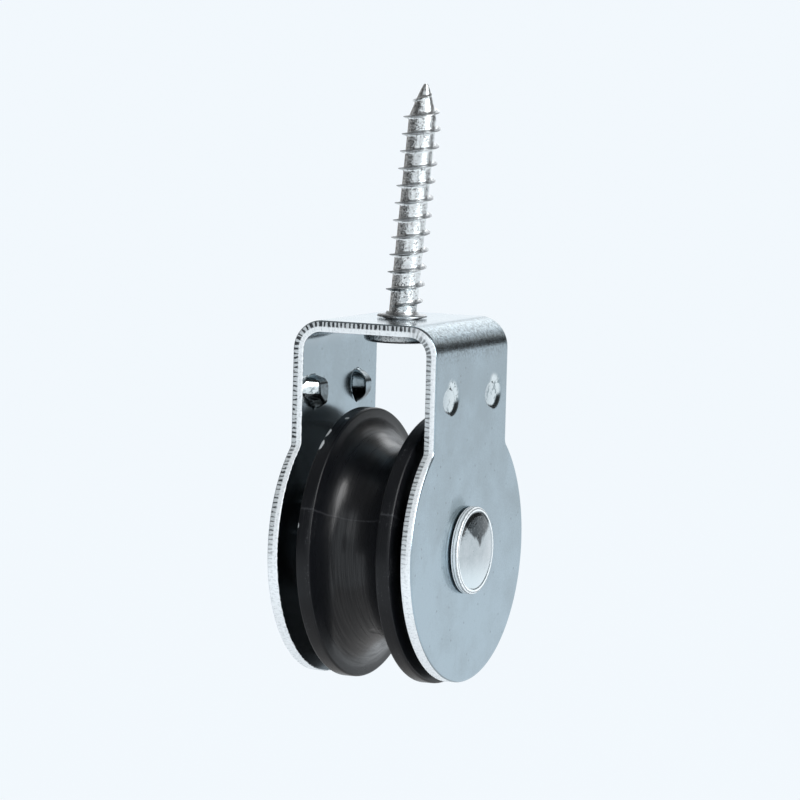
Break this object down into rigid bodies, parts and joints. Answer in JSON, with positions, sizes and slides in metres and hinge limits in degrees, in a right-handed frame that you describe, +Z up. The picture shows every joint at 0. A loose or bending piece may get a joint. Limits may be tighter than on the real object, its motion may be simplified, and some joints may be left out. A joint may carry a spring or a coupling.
{
  "type": "screw pulley",
  "caption": "Rope pulley on a wood screw: a folded steel bracket with pressed lugs holds a grooved plastic sheave on a riveted axle.",
  "frame": {"origin": "middle of the top face of the bracket's web, where the wood screw comes out", "axes": "+Z up along the screw, away from the sheave; +X along the axle, towards the cheek with the wide rivet head; +Y across the bracket"},
  "size_m": [0.0342, 0.05, 0.1104],
  "materials": {
    "zinc_sheet": "satin",
    "zinc_screw": "gloss",
    "zinc_rivet": "gloss",
    "plain_steel": "satin",
    "black_plastic": "satin"
  },
  "bodies": {
    "bracket": {"bracket": "zinc_sheet", "wood_screw": "zinc_screw", "axle_rivet": "zinc_rivet", "spacer_sleeve": "plain_steel"},
    "sheave": {"sheave": "black_plastic"}
  },
  "joints": [
    {"name": "sheave_spin", "type": "hinge", "parent": "bracket", "child": "sheave", "pos_m": [0, 0, -0.042], "axis": [1, 0, 0], "continuous": true}
  ]
}
